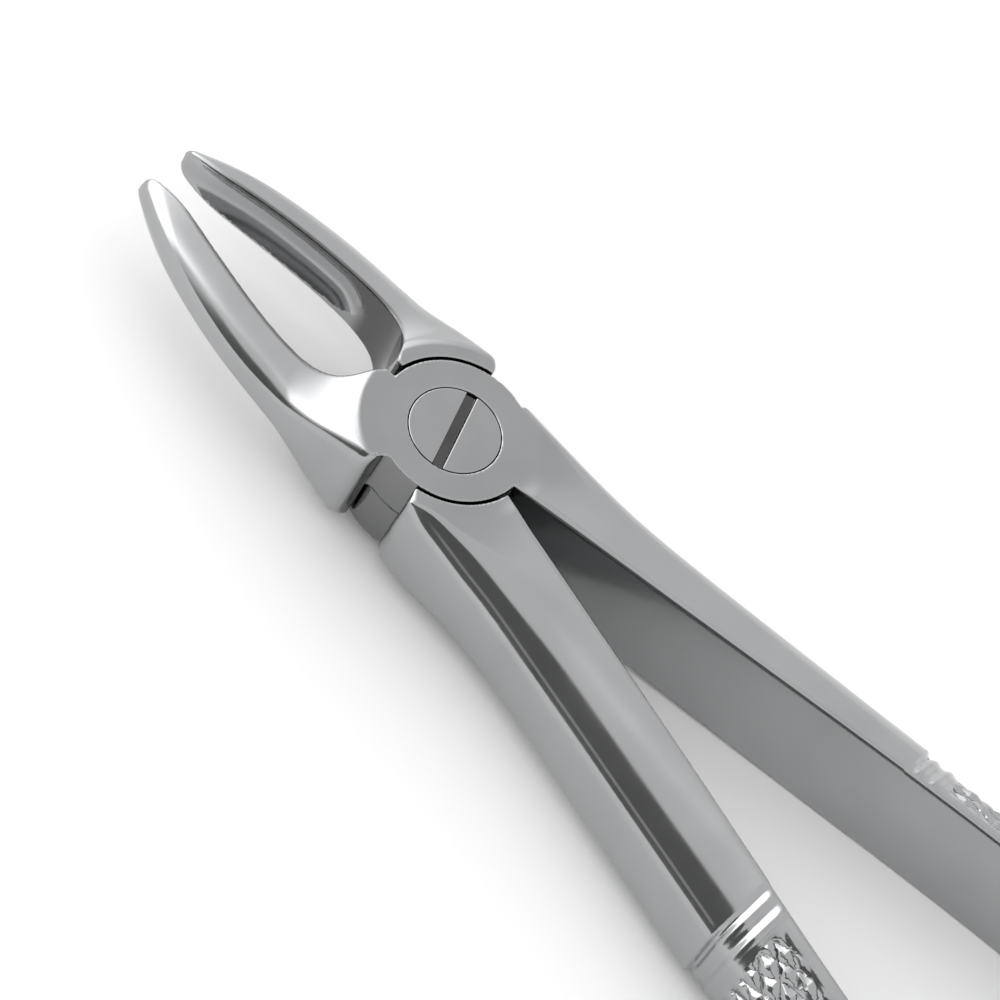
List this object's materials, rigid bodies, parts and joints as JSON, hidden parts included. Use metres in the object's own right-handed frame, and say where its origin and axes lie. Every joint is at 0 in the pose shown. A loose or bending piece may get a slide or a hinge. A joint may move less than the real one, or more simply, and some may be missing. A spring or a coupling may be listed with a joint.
{
  "type": "dental extraction forceps",
  "caption": "Stainless steel dental extraction forceps with straight slim troughed beaks, a round screwed lap joint and long spreading handles.",
  "frame": {"origin": "on the pivot axis, at the joint's flat back face", "axes": "+Y along the tool to the beak tips, +Z along the pivot axis out of the screw head, +X to the screw side half's handle"},
  "size_m": [0.0492, 0.176, 0.0158],
  "materials": {
    "forged_steel": "satin ground stainless steel, polished on the beaks and shoulders",
    "screw_steel": "satin stainless steel, ground flush"
  },
  "bodies": {
    "screw_side_half": {"screw_side_half": "forged_steel"},
    "threaded_half": {"threaded_half": "forged_steel", "joint_screw": "screw_steel"}
  },
  "joints": [
    {"name": "forceps_pivot", "type": "hinge", "parent": "screw_side_half", "child": "threaded_half", "pos_m": [0, 0, 0.0063], "axis": [0, 0, -1], "range_deg": [-6, 30]}
  ]
}
